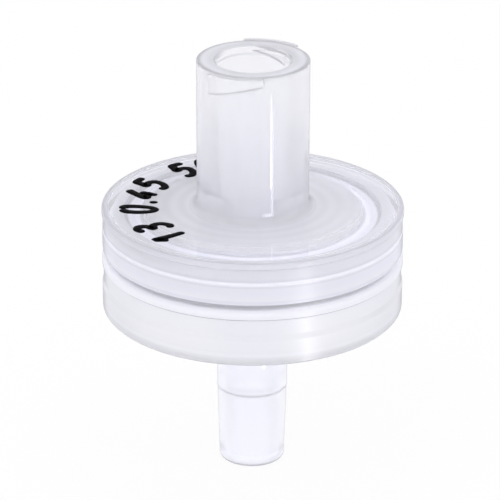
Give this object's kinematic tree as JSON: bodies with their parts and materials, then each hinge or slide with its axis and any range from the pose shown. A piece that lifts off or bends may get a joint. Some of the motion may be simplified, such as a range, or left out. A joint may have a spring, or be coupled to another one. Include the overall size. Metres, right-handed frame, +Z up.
{
  "type": "syringe filter",
  "caption": "Round welded syringe filter with a female luer-lock inlet hub above, a clamped membrane disc inside and a male luer slip outlet below.",
  "frame": {"origin": "middle of the outlet tip's end face, the lowest point of the filter", "axes": "+Z up the axis of flow from the outlet tip to the inlet rim; -Y towards the side where the first lug is"},
  "size_m": [0.018, 0.018, 0.0258],
  "materials": {
    "inlet_plastic": "clear moulded polypropylene, slightly milky, smooth",
    "outlet_plastic": "clear moulded polypropylene, slightly milky, smooth",
    "membrane": "matt white microporous sheet"
  },
  "bodies": {
    "root": {"inlet_housing": "inlet_plastic", "filter_membrane": "membrane", "outlet_housing": "outlet_plastic"}
  },
  "joints": []
}
